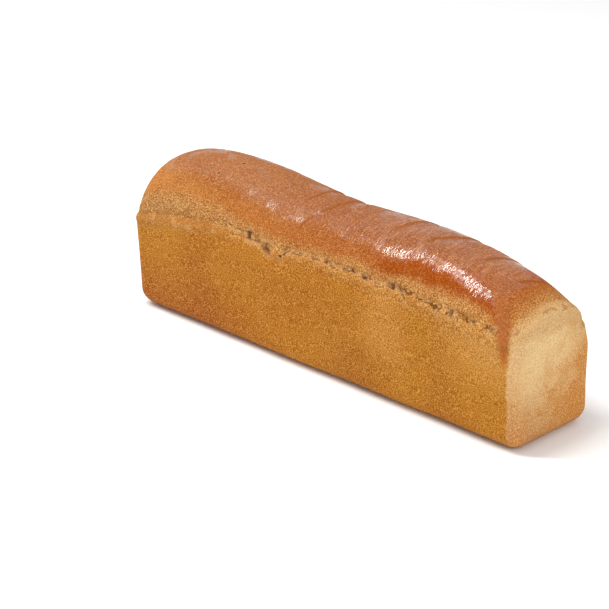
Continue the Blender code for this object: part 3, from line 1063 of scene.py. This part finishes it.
    def streaked(self, colour):
        """The crust with a brown streak, pale in places, under the left lip."""
        line = self.above + self.stray(0.006, 0.012)
        streak = line.step(*STREAK_LOWER_EDGE) * line.step(*STREAK_UPPER_EDGE)
        streak = streak * self.along.step(*STREAK_PLACES)
        colour = self.mix(colour, STREAK_BROWN, streak * 0.45)
        pale = streak * self.patch.step(0.48, 0.60) * self.along.step(*STREAK_PALE_PLACES)
        return self.mix(colour, STREAK_PALE, pale * 0.35)

    def cracked(self, colour):
        """The crust with a thin, broken crack along the seam and over the right end."""
        line = self.above + self.at_end * CRACK_DROP + self.stray(0.004, 0.010)
        crack = line.step(*CRACK_LOWER_EDGE) * line.step(*CRACK_UPPER_EDGE)
        broken = self.noise(*CRACK_BREAKS).step(0.44, 0.54)
        faint = self.along.step(*CRACK_PLACES) * (1.0 - self.at_end * 0.3)
        crack = crack * broken * faint * (1.0 - self.glazed)
        return self.mix(colour, CRACK_BROWN, crack * (0.85 - self.at_end * 0.30))

    def wounded(self, colour):
        """The crust with dark wounds, each in a paler rim."""
        colour = self.mix(colour, WOUND_PALE, self.wound.step(0.05, 0.25) * 0.15)
        inside = self.mix(WOUND_DARK, WOUND_RED, self.patch.step(0.3, 0.7))
        return self.mix(colour, inside, self.wound.step(0.3, 0.8) * 0.85)

    def colour(self):
        """The walls, the right end, the seam and the crown, and what marks them."""
        end = self.end_share()
        colour = self.mix(self.wall_colour(), self.end_colour(), end)
        colour = self.mix(colour, self.seam_colour(), self.torn_share(end))
        tail = self.past_gap.step(*DRIP_TAIL_REACH) * self.gap.step(*DRIP_TAIL_GAPS)
        colour = self.mix(colour, DRIP_TAIL, tail * 0.8)
        colour = self.mix(colour, self.crown_colour(), self.glazed)
        return self.wounded(self.cracked(self.streaked(colour)))

    def covered(self):
        """Where the glaze is thick enough to shine, from 0 to 1."""
        reach = self.past_gap + self.at_right * SHINE_RIGHT
        reach = reach + self.near(*LOW_GLINTS_PLACE) * SHINE_LOW
        covered = reach.step(*SHINE_REACH) * self.gap.step(*SHINE_GAPS)
        covered = covered * self.wound.step(0.5, 0.1)
        return covered * (1.0 - self.fold.step(*FOLD_LINE) * 0.65)

    def shine(self):
        """Where the glaze is smooth and glints, from 0 to 1: in clusters."""
        spread = self.noise(*GLINT_CLUSTERS) + self.at_right * 0.05
        for place, reach in GLINT_PLACES:
            spread = spread + self.near(place, reach) * 0.17
        return spread.step(0.53, 0.63) * (0.80 + self.at_right * 0.20)


def crust_finish():
    """The dull, stippled crust, with the crown's glaze laid over it."""
    crust = Crust("golden_crust")
    colour = crust.colour()
    crust.set("Base Color", colour)
    crust.set("Roughness", 0.70 + (crust.grit - 0.5) * 0.15)
    crust.set("Specular IOR Level", 0.08)
    crust.set("Normal", crust.bump(crust.grit, STIPPLE_BUMP, 0.8))

    shine = crust.shine()
    thin = 0.55 + crust.at_right * 0.45
    crust.glaze_over(crust.covered() * (thin + shine * (1.0 - thin)))
    crust.set("Base Color", colour)
    crust.set("Roughness", 0.56 - shine * 0.42)
    crust.set("Specular IOR Level", 0.5)
    crinkles = crust.noise(*CRINKLES) + crust.creases * crust.at_right
    crust.set("Normal", crust.bump(crinkles, CRINKLE_BUMP, 1.0))
    return crust.material


# --------------------------------------------- floor, lights and camera

FLOOR_REACH = 6.0            # from its middle to its edges
FLOOR_PALE = (0.93, 0.93, 0.93)
BACKDROP_STRENGTH = 0.72
VIEW_TURN = math.radians(44.865)  # of the camera round the loaf from its front
VIEW_RISE = math.radians(22.463)
VIEW_DISTANCE = 1.5327
VIEW_LENS = 118.2
SENSOR_WIDTH = 36.0
VIEW_HEIGHT = 0.060          # the camera looks at this height over the origin
VIEW_ACROSS = 0.0337         # but this much further left
VIEW_UP = 0.0143             # and this much lower


def lay_floor():
    mesh = bmesh.new()
    bmesh.ops.create_grid(mesh, x_segments=1, y_segments=1, size=FLOOR_REACH)
    data = bpy.data.meshes.new("floor")
    mesh.to_mesh(data)
    mesh.free()
    floor = bpy.data.objects.new("floor", data)
    bpy.context.scene.collection.objects.link(floor)
    paint = Finish("pale_floor")
    paint.set("Base Color", FLOOR_PALE)
    paint.set("Roughness", 0.9)
    data.materials.append(paint.material)


def hang_light(name, place, aim, size, watts, along=(1.0, 0.0, 0.0)):
    """A soft rectangular light that faces a point, its long side turned along a line."""
    lamp = bpy.data.lights.new(name, "AREA")
    lamp.shape = "RECTANGLE"
    lamp.size, lamp.size_y = size
    lamp.energy = watts
    light = bpy.data.objects.new(name, lamp)
    away = (Vector(place) - Vector(aim)).normalized()
    side = (Vector(along) - away * away.dot(Vector(along))).normalized()
    turn = Matrix((side, away.cross(side), away)).transposed()
    light.matrix_world = Matrix.Translation(place) @ turn.to_4x4()
    bpy.context.scene.collection.objects.link(light)


def light_studio():
    """An even pale backdrop, a narrow strip over the crown and a fill at the right."""
    world = bpy.data.worlds.new("studio")
    world.use_nodes = True
    backdrop = world.node_tree.nodes["Background"]
    backdrop.inputs["Color"].default_value = (1.0, 1.0, 1.0, 1.0)
    backdrop.inputs["Strength"].default_value = BACKDROP_STRENGTH
    bpy.context.scene.world = world
    hang_light(
        "key", place=(-0.52, -0.47, 1.60), aim=(0.10, 0.0, 0.10),
        size=(1.3, 0.14), watts=25.0, along=(0.60, 0.61, 0.44),
    )
    hang_light(
        "fill", place=(1.8, -0.2, 1.0), aim=(0.0, 0.0, 0.05),
        size=(1.2, 1.2), watts=8.0,
    )


def set_camera():
    """A long lens, a little above the loaf and turned towards its right end."""
    back = Vector((
        math.sin(VIEW_TURN) * math.cos(VIEW_RISE),
        -math.cos(VIEW_TURN) * math.cos(VIEW_RISE),
        math.sin(VIEW_RISE),
    ))
    right = Vector((math.cos(VIEW_TURN), math.sin(VIEW_TURN), 0.0))
    up = back.cross(right)
    aim = Vector((0.0, 0.0, VIEW_HEIGHT)) - right * VIEW_ACROSS - up * VIEW_UP
    camera = bpy.data.objects.new("camera", bpy.data.cameras.new("camera"))
    camera.data.lens = VIEW_LENS
    camera.data.sensor_width = SENSOR_WIDTH
    camera.location = aim + back * VIEW_DISTANCE
    camera.rotation_euler = back.to_track_quat("Z", "Y").to_euler()
    bpy.context.scene.collection.objects.link(camera)
    bpy.context.scene.camera = camera


bpy.context.scene.view_settings.view_transform = "Standard"

loaf = bake_loaf()
loaf.data.materials.append(crust_finish())
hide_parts("loaf")
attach(loaf, "root")

lay_floor()
light_studio()
set_camera()
